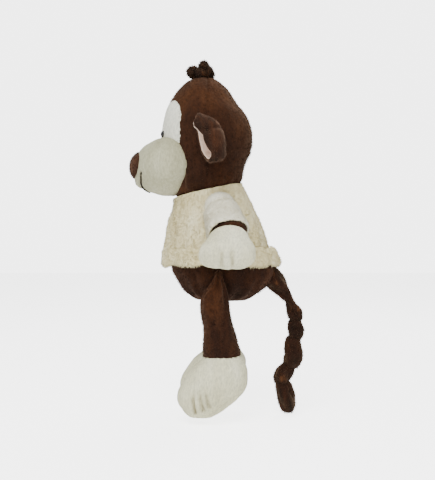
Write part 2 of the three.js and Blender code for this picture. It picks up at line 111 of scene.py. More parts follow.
def spline(points, count):
    """A smooth curve through the points (Catmull-Rom by chord length), sampled evenly."""
    points = np.asarray(points, float)
    steps = np.linalg.norm(np.diff(points, axis=0), axis=1)
    knots = np.concatenate(([0.0], np.cumsum(np.maximum(steps, 1e-6))))
    slopes = np.gradient(points, knots, axis=0)
    at = np.linspace(0.0, knots[-1], count)
    k = np.clip(np.searchsorted(knots, at, side="right") - 1, 0, len(points) - 2)
    h = (knots[k + 1] - knots[k])[:, None]
    t = ((at - knots[k]) / h[:, 0])[:, None]
    return ((2 * t**3 - 3 * t**2 + 1) * points[k] + (t**3 - 2 * t**2 + t) * h * slopes[k]
            + (3 * t**2 - 2 * t**3) * points[k + 1] + (t**3 - t**2) * h * slopes[k + 1])


def loft(centres, along, across, half_along, half_across, around):
    """Oval rings as a grid of points, rows by columns."""
    angle = np.linspace(0.0, 2 * math.pi, around, endpoint=False)
    cosine = np.cos(angle)[None, :, None]
    sine = np.sin(angle)[None, :, None]
    first = np.asarray(half_along)[:, None, None] * np.asarray(along)[:, None, :] * cosine
    second = np.asarray(half_across)[:, None, None] * np.asarray(across)[:, None, :] * sine
    return np.asarray(centres)[:, None, :] + first + second


def stack(rows, count, around, x=0.0):
    """Rows of [height, centre in Y, half width, half depth, tilt, shift in X] as a lofted grid."""
    full = spline([list(row) + [0.0] * (6 - len(row)) for row in rows], count)
    tilt = np.radians(full[:, 4])
    across = np.stack([0 * tilt, np.cos(tilt), np.sin(tilt)], axis=1)
    along = np.tile([1.0, 0.0, 0.0], (count, 1))
    centres = np.stack([x + full[:, 5], full[:, 1], full[:, 0]], axis=1)
    return loft(centres, along, across, full[:, 2], full[:, 3], around)


def spindle(start, end, rows, count, around):
    """Rows of [distance, half thickness, half width] along the line from start towards end."""
    full = spline(rows, count)
    direction = unit(np.asarray(end, float) - start)
    across = unit(np.cross(direction, np.cross((0.0, 1.0, 0.0), direction)))
    along = np.cross(across, direction)
    centres = start + full[:, :1] * direction
    along = np.tile(along, (count, 1))
    across = np.tile(across, (count, 1))
    return loft(centres, along, across, full[:, 1], full[:, 2], around)


def ball_points(polar, around):
    """Points of a unit ball in rings about the Y axis, the first ring at the front."""
    angle = np.linspace(0, 2 * math.pi, around, endpoint=False)
    ring = np.sin(polar)[:, None]
    return np.stack([ring * np.cos(angle), -np.cos(polar)[:, None] + 0 * angle, ring * np.sin(angle)], -1)


def grid_normals(grid):
    """Outward unit normals of a lofted grid that closes on itself round its columns."""
    down = np.gradient(grid, axis=0)
    round_ = np.roll(grid, -1, axis=1) - np.roll(grid, 1, axis=1)
    normal = unit(np.cross(down, round_))
    middle = grid.mean(axis=1, keepdims=True)
    if np.sum((grid - middle) * normal) < 0:
        normal = -normal
    return normal


def push(grid, amount):
    """Moves each point out along its normal by an amount in millimetres."""
    return grid + grid_normals(grid) * np.asarray(amount)[..., None]


def noise(points, size, seed):
    """Smooth value noise from -1 to 1 with lumps of a size in millimetres."""
    place = points / size + seed * 7.31
    cell = np.floor(place)
    part = place - cell
    part = part * part * (3 - 2 * part)
    total = np.zeros(points.shape[:-1])
    for corner in itertools.product((0.0, 1.0), repeat=3):
        mixed = np.sin((cell + corner) @ np.array([12.9898, 78.233, 37.719]) + seed) * 43758.5453
        weight = np.prod(np.where(np.array(corner) > 0, part, 1 - part), axis=-1)
        total += weight * (mixed - np.floor(mixed))
    return total * 2 - 1


def plush(grid, seed, lumps=0.9, folds=0.35, nap=0.3):
    """The uneven surface of stuffed plush: broad lumps, small folds and the broken edge of the pile."""
    amount = lumps * noise(grid, 19, seed) + folds * noise(grid, 7, seed + 1)
    amount += nap * noise(grid, 1.7, seed + 2) + 0.5 * nap * noise(grid, 0.9, seed + 3)
    return push(grid, amount)


def groove(distance, depth, width):
    """A sewn channel: how far a point at that distance from the stitches is pulled in."""
    return -depth * np.exp(-((distance / width) ** 2))


def line_distance(points, line):
    """The distance of each point from a line through the given points."""
    line = np.asarray(line, float)
    best = np.full(points.shape[:-1], np.inf)
    for a, b in zip(line[:-1], line[1:]):
        step = b - a
        t = np.clip((points - a) @ step / (step @ step), 0, 1)
        best = np.minimum(best, np.linalg.norm(points - a - t[..., None] * step, axis=-1))
    return best


# ---------------------------------------------------------------- meshes
def mesh_object(name, points, faces, material):
    mesh = bpy.data.meshes.new(name)
    mesh.from_pydata([tuple(p) for p in np.asarray(points) * MM], [], faces)
    mesh.validate()
    mesh.polygons.foreach_set("use_smooth", [True] * len(mesh.polygons))
    if material:
        mesh.materials.append(material)
    piece = bpy.data.objects.new(name, mesh)
    bpy.context.scene.collection.objects.link(piece)
    return piece


def grid_faces(rows, columns):
    faces = []
    for r in range(rows - 1):
        for c in range(columns):
            d = (c + 1) % columns
            faces.append((r * columns + c, r * columns + d, (r + 1) * columns + d, (r + 1) * columns + c))
    return faces


def closed_parts(grid):
    """Points and faces of a lofted grid with a fan at each end, faces pointing out."""
    rows, columns = grid.shape[:2]
    points = np.concatenate([grid.reshape(-1, 3), grid[:1].mean(axis=1), grid[-1:].mean(axis=1)])
    faces = grid_faces(rows, columns)
    first, last = rows * columns, rows * columns + 1
    low = (rows - 1) * columns
    for c in range(columns):
        d = (c + 1) % columns
        faces.append((first, d, c))
        faces.append((last, low + c, low + d))
    corners = np.array([points[list(face[:3])] for face in faces[: rows * columns - columns]])
    volume = np.einsum("ij,ij->i", corners[:, 0], np.cross(corners[:, 1], corners[:, 2])).sum()
    return points, [face[::-1] for face in faces] if volume < 0 else faces


def spikes(grid, count, length, width, lean, seed, where=None):
    """Closed three-sided tufts of pile that stand on a grid and lean over. Returns points and faces."""
    random = np.random.default_rng(seed)
    normal = grid_normals(grid)
    rows, columns = grid.shape[:2]
    edge_a = grid[1:] - grid[:-1]
    edge_b = np.roll(grid, -1, axis=1)[:-1] - grid[:-1]
    area = np.linalg.norm(np.cross(edge_a, edge_b), axis=-1)
    if where is not None:
        area = area * where[:-1]
    cells = random.choice(area.size, size=count, p=area.ravel() / area.sum())
    r, c = np.divmod(cells, columns)
    u, v = random.random((2, count, 1))
    base = grid[r, c] + u * edge_a[r, c] + v * edge_b[r, c]
    out = normal[r, c]
    side = unit(np.cross(out, random.normal(size=(count, 3))))
    other = np.cross(out, side)
    tall = length * (0.6 + 0.7 * random.random((count, 1)))
    bend = np.asarray(lean) * tall + side * tall * random.normal(scale=0.35, size=(count, 1))
    points = []
    for k in range(3):
        turn = 2 * math.pi * k / 3
        points.append(base - 0.5 * out + width * (math.cos(turn) * side + math.sin(turn) * other))
    points.append(base + out * tall + bend)
    points = np.stack(points, axis=1).reshape(-1, 3)
    faces = []
    for i in range(0, 4 * count, 4):
        faces += [(i, i + 2, i + 1), (i, i + 1, i + 3), (i + 1, i + 2, i + 3), (i + 2, i, i + 3)]
    return points, faces


def joined(*parts):
    """Several sets of points and faces as one."""
    points, faces, start = [], [], 0
    for more_points, more_faces in parts:
        points.append(more_points)
        faces += [tuple(i + start for i in face) for face in more_faces]
        start += len(more_points)
    return np.concatenate(points), faces


def sleeve_parts(outer, thickness):
    """A tube of cloth as one closed surface: out along the grid, over the edge and back inside."""
    inner = push(outer, np.full(outer.shape[:2], -thickness))
    rows, columns = outer.shape[:2]
    points = np.concatenate([outer, inner[::-1]]).reshape(-1, 3)
    faces = grid_faces(2 * rows, columns)
    low = (2 * rows - 1) * columns
    for c in range(columns):
        d = (c + 1) % columns
        faces.append((low + c, low + d, d, c))
    return points, faces


def closed_piece(name, parts, material):
    """A mesh piece from points and faces, with every face of it turned to point out."""
    piece = mesh_object(name, *parts, material)
    work = bmesh.new()
    work.from_mesh(piece.data)
    bmesh.ops.recalc_face_normals(work, faces=work.faces)
    work.to_mesh(piece.data)
    work.free()
    return piece


def furred(name, grid, material, *pile, where=None):
    """A closed piece from a grid, with pile on it: its count, length, width, lean and seed."""
    return closed_piece(name, joined(closed_parts(grid), spikes(grid, *pile, where=where)), material)


# ---------------------------------------------------------------- stuffing pressure
REMESH = 4.5  # millimetres between the points of the skin that is simulated
PRESSURE = 4.0
STRETCH_STIFFNESS = 25
BEND_STIFFNESS = 1.5
CLOTH_STEPS = 20
MOST_TRAVEL = 2.6  # millimetres that the pressure may move the skin


def stuffed(grid, held=None):
    """The grid after cloth simulation presses its stuffing out against the places sewn down."""
    skin = mesh_object("cloth_trial", *closed_parts(grid[::3, ::3]), None)
    remesh = skin.modifiers.new("remesh", "REMESH")
    remesh.mode = "VOXEL"
    remesh.voxel_size = REMESH * MM
    still = bpy.data.meshes.new_from_object(skin.evaluated_get(bpy.context.evaluated_depsgraph_get()))
    skin.modifiers.clear()
    skin.data = still
    before = np.empty(3 * len(still.vertices))
    still.vertices.foreach_get("co", before)
    before = before.reshape(-1, 3) / MM
    cloth = skin.modifiers.new("cloth", "CLOTH")
    cloth.settings.use_pressure = True
    cloth.settings.uniform_pressure_force = PRESSURE
    cloth.settings.effector_weights.gravity = 0
    cloth.settings.quality = 6
    cloth.settings.tension_stiffness = STRETCH_STIFFNESS
    cloth.settings.compression_stiffness = STRETCH_STIFFNESS
    cloth.settings.bending_stiffness = BEND_STIFFNESS
    if held is not None:
        pins = skin.vertex_groups.new(name="sewn")
        pins.add([int(i) for i in np.where(held(before))[0]], 1.0, "REPLACE")
        cloth.settings.vertex_group_mass = "sewn"
    for step in range(1, CLOTH_STEPS + 1):
        bpy.context.scene.frame_set(step)
    moved = skin.evaluated_get(bpy.context.evaluated_depsgraph_get()).to_mesh()
    after = np.empty(3 * len(moved.vertices))
    moved.vertices.foreach_get("co", after)
    travel = after.reshape(-1, 3) / MM - before
    length = np.linalg.norm(travel, axis=1, keepdims=True)
    travel *= np.minimum(1, MOST_TRAVEL / np.maximum(length, 1e-6))
    bpy.context.scene.frame_set(1)
    bpy.data.objects.remove(skin)
    flat = grid.reshape(-1, 3)
    tree = KDTree(len(before))
    for index, place in enumerate(before):
        tree.insert(place, index)
    tree.balance()
    shift = np.zeros_like(flat)
    for index, place in enumerate(flat):
        near = tree.find_n(place, 4)
        weight = np.array([1 / (0.3 + distance) for _, _, distance in near])
        shift[index] = (travel[[item[1] for item in near]] * weight[:, None]).sum(0) / weight.sum()
    return (flat + shift).reshape(grid.shape)


# ---------------------------------------------------------------- materials
def colour(red, green, blue):
    """An sRGB colour, 0 to 255, as the linear value that a shader needs."""
    values = []
    for part in (red, green, blue):
        share = part / 255
        values.append(share / 12.92 if share <= 0.04045 else ((share + 0.055) / 1.055) ** 2.4)
    return (*values, 1.0)


CREASE_REACH = 9.0  # millimetres over which the colour in a crease is darkened: painted shade for the pile next to it
# the darkest colour of the painted shade in creases
CREASE_SHADE = (0.34, 0.28, 0.2, 1)


def add_noise(tree, source, scale, detail, roughness=0.6):
    node = tree.nodes.new("ShaderNodeTexNoise")
    node.inputs["Scale"].default_value = scale
    node.inputs["Detail"].default_value = detail
    node.inputs["Roughness"].default_value = roughness
    tree.links.new(source, node.inputs["Vector"])
    return node.outputs["Fac"]


def add_ramp(tree, source, stops):
    ramp = tree.nodes.new("ShaderNodeValToRGB")
    elements = ramp.color_ramp.elements
    while len(elements) < len(stops):
        elements.new(0.5)
    for element, (place, value) in zip(elements, stops):
        element.position = place
        element.color = value
    tree.links.new(source, ramp.inputs["Fac"])
    return ramp.outputs["Color"]


def plush_material(name, dark, middle, light, nap=28, fibre=420, bump=0.5, sheen=0.4,
                   sheen_colour=(1, 1, 1), fleck=0.75, crease_shade=CREASE_SHADE):
    """Pile cloth: the nap brushed into lighter and darker patches, fibres, a velvet sheen, and painted shade
    that darkens creases.
    """
    material = bpy.data.materials.new(name)
    material.use_nodes = True
    tree = material.node_tree
    shader = tree.nodes["Principled BSDF"]
    place = tree.nodes.new("ShaderNodeTexCoord").outputs["Object"]
    stretch = tree.nodes.new("ShaderNodeMapping")
    stretch.inputs["Scale"].default_value = (1.0, 1.0, 0.4)
    tree.links.new(place, stretch.inputs["Vector"])
    patches = add_noise(tree, stretch.outputs["Vector"], nap, 4)
    fibres = add_noise(tree, stretch.outputs["Vector"], fibre, 4, 0.75)
    base = add_ramp(tree, patches, [(0.3, colour(*dark)), (0.52, colour(*middle)), (0.74, colour(*light))])
    flecks = add_ramp(tree, fibres, [(0.25, (0.55, 0.55, 0.55, 1)), (0.75, (1.3, 1.3, 1.3, 1))])
    mix = tree.nodes.new("ShaderNodeMix")
    mix.data_type = "RGBA"
    mix.blend_type = "MULTIPLY"
    mix.inputs["Factor"].default_value = fleck
    tree.links.new(base, mix.inputs["A"])
    tree.links.new(flecks, mix.inputs["B"])
    # Painted shade: ambient occlusion darkens the base colour in creases and hollows.
    crease = tree.nodes.new("ShaderNodeAmbientOcclusion")
    crease.samples = 8
    crease.inputs["Distance"].default_value = CREASE_REACH * MM
    shade = add_ramp(tree, crease.outputs["AO"], [(0.15, crease_shade), (0.85, (1, 1, 1, 1))])
    deep = tree.nodes.new("ShaderNodeMix")
    deep.data_type = "RGBA"
    deep.blend_type = "MULTIPLY"
    deep.inputs["Factor"].default_value = 1.0
    tree.links.new(mix.outputs["Result"], deep.inputs["A"])
    tree.links.new(shade, deep.inputs["B"])
    tree.links.new(deep.outputs["Result"], shader.inputs["Base Color"])
    dent = tree.nodes.new("ShaderNodeBump")
    dent.inputs["Strength"].default_value = bump
    dent.inputs["Distance"].default_value = 0.0009
    tree.links.new(fibres, dent.inputs["Height"])
    tree.links.new(dent.outputs["Normal"], shader.inputs["Normal"])
    rough = tree.nodes.new("ShaderNodeMapRange")
    rough.inputs["To Min"].default_value = 0.82
    rough.inputs["To Max"].default_value = 0.98
    tree.links.new(patches, rough.inputs["Value"])
    tree.links.new(rough.outputs["Result"], shader.inputs["Roughness"])
    shader.inputs["Specular IOR Level"].default_value = 0.15
    shader.inputs["Sheen Weight"].default_value = sheen
    shader.inputs["Sheen Roughness"].default_value = 0.45
    shader.inputs["Sheen Tint"].default_value = (*sheen_colour, 1)
    return material


def plastic_material(name, dark, light, roughness, coat):
    material = bpy.data.materials.new(name)
    material.use_nodes = True
    tree = material.node_tree
    shader = tree.nodes["Principled BSDF"]
    place = tree.nodes.new("ShaderNodeTexCoord").outputs["Object"]
    haze = add_noise(tree, place, 300, 3)
    base = add_ramp(tree, haze, [(0.3, colour(*dark)), (0.7, colour(*light))])
    tree.links.new(base, shader.inputs["Base Color"])
    smear = tree.nodes.new("ShaderNodeMapRange")
    smear.inputs["To Min"].default_value = roughness
    smear.inputs["To Max"].default_value = roughness + 0.1
    tree.links.new(haze, smear.inputs["Value"])
    tree.links.new(smear.outputs["Result"], shader.inputs["Roughness"])
    shader.inputs["Coat Weight"].default_value = coat
    return material


BROWN = plush_material("brown_plush", (22, 9, 3), (39, 19, 8), (66, 37, 18),
                       nap=24, bump=0.6, sheen=0.16, sheen_colour=(0.9, 0.5, 0.3))
# Painted light: the hood takes a lighter copy of the brown plush, standing for the light on the top of the
# head.
HOOD = plush_material("hood_plush", (32, 14, 4), (52, 27, 11), (78, 46, 23),
                      nap=24, bump=0.6, sheen=0.14, sheen_colour=(0.95, 0.55, 0.3))
CREAM = plush_material("cream_plush", (198, 194, 158), (218, 215, 182), (233, 231, 204),
                       nap=22, fibre=520, bump=0.3, sheen=0.05)
MUZZLE = plush_material("muzzle_plush", (150, 147, 118), (174, 172, 143), (192, 190, 164),
                        nap=20, fibre=520, bump=0.3, sheen=0.05)
FACE = plush_material("face_plush", (210, 209, 190), (224, 224, 208), (236, 236, 222),
                      nap=22, fibre=520, bump=0.3, sheen=0.05)
FLUFFY = {"nap": 38, "fibre": 260, "sheen": 0.05}
SHIRT = plush_material("shirt_plush", (204, 192, 146), (219, 209, 167), (232, 225, 190),
                       **FLUFFY, bump=0.4, fleck=0.3, crease_shade=(0.88, 0.84, 0.74, 1))
# Painted light: the sleeves and shoulder caps take a whiter copy of the shirt cloth, standing for the light
# from above.
SLEEVE = plush_material("sleeve_plush", (208, 202, 176), (224, 220, 198), (235, 232, 214),
                        **FLUFFY, bump=0.55, fleck=0.4, crease_shade=(0.8, 0.76, 0.66, 1))
HEM = plush_material("hem_plush", (216, 205, 158), (231, 222, 180), (242, 235, 204),
                     **FLUFFY, bump=0.4, fleck=0.3, crease_shade=(0.92, 0.88, 0.78, 1))
LINING = plush_material("ear_lining", (215, 186, 166), (236, 212, 194), (246, 228, 212),
                        nap=40, fibre=500, bump=0.3, sheen=0.1)
EAR = plush_material("ear_plush", (24, 11, 5), (40, 21, 11), (66, 38, 22),
                     nap=70, bump=0.6, sheen=0.25, sheen_colour=(1.0, 0.62, 0.4))
TAIL = plush_material("tail_plush", (21, 9, 3), (44, 22, 10), (122, 78, 46),
                      nap=60, bump=0.6, sheen=0.25, sheen_colour=(0.95, 0.6, 0.35))
NOSE = plush_material("nose_plush", (34, 17, 9), (58, 33, 19), (84, 52, 33),
                      nap=60, bump=0.5, sheen=0.2, sheen_colour=(0.8, 0.55, 0.4))
TUFT = plush_material("tuft_pile", (24, 11, 5), (46, 25, 11), (88, 54, 28),
                      nap=150, bump=0.8, sheen=0.2, sheen_colour=(0.9, 0.6, 0.38))
THREAD = plush_material("thread", (22, 14, 10), (32, 21, 15), (50, 36, 28),
                        nap=300, fibre=1400, bump=0.5, sheen=0.1)
FIBRE = plush_material("stuffing", (225, 224, 218), (238, 238, 234), (248, 248, 246),
                       nap=80, fibre=600, bump=0.8, sheen=0.3)
EYE = plastic_material("eye", (3, 3, 4), (8, 7, 8), 0.12, 0.2)
WASHER = plastic_material("washer", (214, 210, 200), (236, 233, 226), 0.45, 0.0)

DOWN = np.array([0.0, 0.0, -0.35])  # how pile leans, as a share of its length


def worn(piece, body, slot, *nodes):
    """Hangs a piece on one body and hides the CAD solids it stands for; the slot is not used."""
    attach(piece, body)
    if nodes:
        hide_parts(*nodes)


def padded(piece, body, nodes, other=None):
    """Hangs a stuffed piece on its body, or, given a second body, leaves it fixed where it stands; hides the
    CAD solids it stands for.
    """
    if other is None:
        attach(piece, body)
    else:
        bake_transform(piece)
    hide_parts(*nodes)
    return piece


# ---------------------------------------------------------------- camera, light and stage
VIEW_WIDE = 551.0  # millimetres of the middle plane that fill the picture's height
CAMERA_AT = np.array([920.0, -6.9, 68.9])
SENSOR = 36.0
WORLD_LIGHT = 0.5
WORLD_SEEN = 4.5
FLOOR_LIGHT = 0.5
FLOOR_SEEN = 3.6
FLOOR_GAP = 4  # millimetres below the lowest solid
FLOOR_HALF = 4000


def make_camera():
    camera = bpy.data.objects.new("camera", bpy.data.cameras.new("camera"))
    camera.data.sensor_width = SENSOR
    camera.data.lens = SENSOR * CAMERA_AT[0] / VIEW_WIDE
    camera.data.clip_start = 0.05
    camera.data.clip_end = 20
    camera.location = CAMERA_AT * MM
    camera.rotation_euler = (math.radians(90), 0, math.radians(90))
    bpy.context.scene.collection.objects.link(camera)
    bpy.context.scene.camera = camera


def make_light(name, place, size, power, aim=(0.0, 0.0, 0.07)):
    data = bpy.data.lights.new(name, "AREA")
    data.size = size
    data.energy = power
    lamp = bpy.data.objects.new(name, data)
    lamp.location = place
    lamp.rotation_euler = (Vector(aim) - Vector(place)).to_track_quat("-Z", "Y").to_euler()
    bpy.context.scene.collection.objects.link(lamp)


def make_stage():
    world = bpy.data.worlds.new("studio")
    world.use_nodes = True
    tree = world.node_tree
    seen = tree.nodes.new("ShaderNodeMapRange")
    seen.inputs["To Min"].default_value = WORLD_LIGHT
    seen.inputs["To Max"].default_value = WORLD_SEEN
    tree.links.new(tree.nodes.new("ShaderNodeLightPath").outputs["Is Camera Ray"], seen.inputs["Value"])
    tree.nodes["Background"].inputs["Color"].default_value = (1, 1, 1, 1)
    tree.links.new(seen.outputs["Result"], tree.nodes["Background"].inputs["Strength"])
    bpy.context.scene.world = world
    material = bpy.data.materials.new("floor")
    material.use_nodes = True
    shader = material.node_tree.nodes["Principled BSDF"]
    shader.inputs["Base Color"].default_value = (0.93, 0.93, 0.93, 1)
    shader.inputs["Roughness"].default_value = 0.9
    shader.inputs["Emission Color"].default_value = (1, 1, 1, 1)
    seen = material.node_tree.nodes.new("ShaderNodeMapRange")
    seen.inputs["To Min"].default_value = FLOOR_LIGHT
    seen.inputs["To Max"].default_value = FLOOR_SEEN
    path = material.node_tree.nodes.new("ShaderNodeLightPath")
    material.node_tree.links.new(path.outputs["Is Camera Ray"], seen.inputs["Value"])
    material.node_tree.links.new(seen.outputs["Result"], shader.inputs["Emission Strength"])
    low = CAD_BOX[0][2] / MM - FLOOR_GAP
    corners = [(x * FLOOR_HALF, y * FLOOR_HALF, low) for x, y in ((-1, -1), (1, -1), (1, 1), (-1, 1))]
    floor = mesh_object("floor", np.array(corners, float), [(0, 1, 2, 3)], material)
    make_light("key", (1.1, -0.35, 1.25), 0.9, 34)
    make_light("fill", (1.4, 0.9, 0.4), 1.4, 6)
    make_light("rim", (-0.9, 0.5, 1.4), 1.0, 14)


# ---------------------------------------------------------------- head
HEAD_ROWS = [  # [height, centre in Y, half width, half depth, tilt]
    [254.6, -22.6, 3, 3.5],
    [253.6, -22.6, 11, 12],
    [249, -23.3, 19.5, 20],
    [240, -23.4, 29, 28.9],
    [227, -23.4, 39, 36.9],
    [210, -19.8, 47.5, 46],
    [195, -18.4, 51.5, 50.4],
    [181, -18.6, 52, 51],
    [166, -19.3, 50.6, 49.9, 3],
]
JAW_ROW = [154, -20.0, 47.5, 47.2, 8]
HEAD_BALL = 45.0  # radius of the head's underside about the neck's pivot
HEAD_TILT = 12.4  # degrees that the neck leans forward
HEAD_FULL = 2.2  # the stuffing bulges this much above the collar
HEAD_SEAM = -18.0


def ball_row(depth):
    """The head's rounded underside at a depth below the neck's pivot, as a row of the stack."""
    centre = NECK - depth * NECK_UP
    radius = math.sqrt(HEAD_BALL**2 - depth**2) + HEAD_FULL * max(0.0, 1 - ((depth - 11) / 11) ** 2)
    return [centre[2], centre[1], radius, radius, HEAD_TILT]


def head_grid(count=170, around=220):
    rows = HEAD_ROWS + [JAW_ROW] + [ball_row(depth) for depth in (9, 17, 24, 31, 38)]
    return stack(rows, count, around)


def head_front(x, z):
    """How far forward the head's surface is at a place seen from the front."""
    rows = [(row + [0])[:5] for row in HEAD_ROWS + [JAW_ROW]]
    rows = spline(rows, 200)[::-1]
    centre, wide, deep = (np.interp(z, rows[:, 0], rows[:, k]) for k in (1, 2, 3))
    return centre - deep * np.sqrt(np.maximum(1 - (x / wide) ** 2, 0.02))


def panel_cover(points):
    """From 0 to 1: how far a place on the head lies under the face panel or the muzzle."""
    ahead = np.clip((-41 - points[..., 1]) / 3, 0, 1)
    half = spline(FACE_OUTLINE, 60)
    left = np.stack([np.abs(points[..., 0]), points[..., 2]], axis=-1)
    edge = line_distance(left, half)
    upper = np.array(FACE_OUTLINE[:9])
    inside = left[..., 1] < np.interp(left[..., 0], upper[:, 0], upper[:, 1], right=0)
    return np.where(inside, np.clip((edge - 1.2) / 3, 0, 1), 0) * ahead


def make_hood():
    grid = head_grid()
    seam = groove(grid[..., 1] - HEAD_SEAM, 1.3, 1.5)
    collar = np.clip((150 - grid[..., 2]) / 25, 0, 1)
    angle = np.arctan2(grid[..., 1] + 20, grid[..., 0])
    gathers = 0.9 * collar * np.sin(angle * 17 + 3 * noise(grid, 25, 5))
    hidden = panel_cover(grid)
    grid = stuffed(grid, lambda points: np.abs(points[:, 1] - HEAD_SEAM) < 2.5)
    fluffy = plush(push(grid, seam + gathers), 11, lumps=1.0, folds=0.3)
    sunk = push(grid, -2.2 * np.ones(hidden.shape))
    grid = fluffy + hidden[..., None] * (sunk - fluffy)
    pile = spikes(grid, 9000, 1.6, 0.33, DOWN, 21, where=1 - np.clip(hidden * 4, 0, 1))
    piece = mesh_object("head_hood", *joined(closed_parts(grid), pile), HOOD)
    nodes = ["head_cover_front", "head_cover_back", "head_stuffing"]
    padded(piece, "head", nodes)


FACE_OUTLINE = [  # [X, Z] of the panel's left edge, from the middle of the brow down to the chin
    [0, 224.2], [9, 225.6], [17, 227], [24, 226], [30, 221.5], [35.5, 214.5], [39.3, 206],
    [41.6, 195], [42.3, 184], [41, 166], [34, 150], [18, 140], [0, 138],
]


def make_face():
    half = spline(FACE_OUTLINE, 60)
    outline = np.concatenate([half, (half * [-1, 1])[::-1][1:-1]])
    middle = np.array([0, 190.0])
    reach = np.concatenate([np.linspace(0.04, 0.9, 34), np.linspace(0.92, 1.0, 8)])
    flat = middle + reach[:, None, None] * (outline - middle)
    rise = 3.0 * (1 - reach[:, None] ** 16) - 1.2 + np.zeros(flat.shape[:2])
    depth = head_front(flat[..., 0], flat[..., 1])
    top = np.stack([flat[..., 0], depth - rise, flat[..., 1]], axis=-1)
    fluff = 0.5 * noise(top, 16, 31) + 0.2 * noise(top, 1.7, 32)
    top[..., 1] -= fluff * (1 - reach[:, None] ** 6)
    under = top[::-1].copy()
    under[..., 1] += 2.0
    grid = np.concatenate([top, under])
    piece = closed_piece("face_panel_plush", closed_parts(grid), FACE)
    padded(piece, "head", ["face_panel"])


MUZZLE_HALF = np.array([47.0, 41.5, 33.0])
MUZZLE_CENTRE = np.array([0.0, box("muzzle_cover")[0][1] + MUZZLE_HALF[1], 152.5])
MOUTH_HALF = 27.0
MOUTH_LOW = 124.5
MOUTH_RISE = 20
MOUTH_CURVE = 1.6
STITCHES = 21
LIP_PROUD = 5.5  # the lower lip stands out this much, round a place this high
LIP_HEIGHT = 131.5
LIP_HALF = (18, 8.5)
NOSE_HALF = (25.0, 15.5)
NOSE_HEIGHT = 154.6
NOSE_PROUD = 6.0


def mouth_height(x):
    """The height of the smile at a distance from the middle."""
    return MOUTH_LOW + MOUTH_RISE * np.minimum(np.abs(x) / MOUTH_HALF, 1) ** MOUTH_CURVE


def muzzle_grid(count=130, around=190):
    unit_ball = ball_points(np.linspace(0.03, math.pi - 0.5, count), around)
    back = np.clip(unit_ball[..., 1] + 0.75, 0, 1)
    square = 2 + 1.3 * back * np.clip(unit_ball[..., 2] * 3, 0, 1)
    side, up = np.abs(unit_ball[..., 0]), np.abs(unit_ball[..., 2])
    fuller = np.hypot(side, up) / np.maximum(side**square + up**square, 1e-9) ** (1 / square)
    unit_ball[..., 0] *= fuller * (1 + 0.05 * back - 0.1 * np.clip(-unit_ball[..., 1], 0, 1) ** 2)
    unit_ball[..., 2] *= fuller
    grid = MUZZLE_CENTRE + unit_ball * MUZZLE_HALF
    front = np.clip(-unit_ball[..., 1] * 2, 0, 1)
    x, z = grid[..., 0], grid[..., 2]
    lip = LIP_PROUD * np.exp(-(((z - LIP_HEIGHT) / LIP_HALF[1]) ** 2) - (x / LIP_HALF[0]) ** 2) * front
    grid[..., 1] -= lip
    grid[..., 2] -= 0.25 * lip
    ends = np.clip((MOUTH_HALF + 3 - np.abs(x)) / 5, 0, 1)
    smile = groove(z - mouth_height(x), 2.2, 2.6) * ends * front
    middle = groove(x, 1.2, 1.8) * np.clip((z - 124) / 8, 0, 1) * np.clip((150 - z) / 8, 0, 1) * front
    return push(grid, smile + middle)


def sewn_muzzle(points):
    """The muzzle is sewn down round its back edge and along the smile."""
    smile = (np.abs(points[:, 2] - mouth_height(points[:, 0])) < 3) & (np.abs(points[:, 0]) < MOUTH_HALF)
    return (points[:, 1] > MUZZLE_CENTRE[1] + 12) | (smile & (points[:, 1] < MUZZLE_CENTRE[1]))


def make_muzzle():
    grid = plush(stuffed(muzzle_grid(), sewn_muzzle), 41, lumps=0.8, folds=0.25, nap=0.22)
    piece = closed_piece("muzzle_plush", closed_parts(grid), MUZZLE)
    padded(piece, "head", ["muzzle_cover", "muzzle_stuffing"])
    return grid


def muzzle_front(muzzle, x, z):
    """How far forward the finished muzzle is at places seen from the front."""
    grid = muzzle.reshape(-1, 3)
    grid = grid[grid[:, 1] < MUZZLE_CENTRE[1]]
    spots = np.stack([np.atleast_1d(x), np.atleast_1d(z)], axis=-1)
    gap = ((grid[None, :, ::2] - spots[:, None]) ** 2).sum(-1)
    return grid[np.argmin(gap, axis=1), 1]


def make_nose(muzzle):
    """The nose is a pad sewn round the tip of the muzzle."""
    angle = np.linspace(0, 2 * math.pi, 90, endpoint=False)
    reach = np.concatenate([np.linspace(0.03, 0.85, 20), np.linspace(0.88, 1.0, 8)])[:, None]
    x = reach * NOSE_HALF[0] * np.cos(angle)
    z = NOSE_HEIGHT + reach * NOSE_HALF[1] * np.sin(angle)
    base = muzzle_front(muzzle, x.ravel(), z.ravel()).reshape(x.shape)
    rise = NOSE_PROUD * np.sqrt(np.maximum(1 - reach**2.6, 0)) - 0.8
    top = np.stack([x, base - rise, z], axis=-1)
    under = top[::-1].copy()
    under[..., 1] = np.maximum(under[..., 1], base[::-1]) + 2.5
    grid = np.concatenate([plush(top, 51, lumps=0.3, folds=0.3, nap=0.25), under])
    pile = spikes(top, 1200, 1.2, 0.3, DOWN, 52, where=(reach < 0.97) + 0 * x)
    piece = closed_piece("nose_plush", joined(closed_parts(grid), pile), NOSE)
    padded(piece, "head", ["nose_pad"])


def stitch_parts(start, end, out, radius=1.0, around=10):
    """One stitch: a short thread that rises out of the cloth and goes back in."""
    t = np.linspace(0, 1, 9)[:, None]
    path = start + t * (end - start) + out * (1.1 * np.sin(math.pi * t) + 0.1)
    heading = unit(np.gradient(path, axis=0))
    along = unit(np.cross(heading, out))
    across = np.cross(heading, along)
    width = radius * np.ones(len(t))
    return closed_parts(loft(path, along, across, width, width, around))


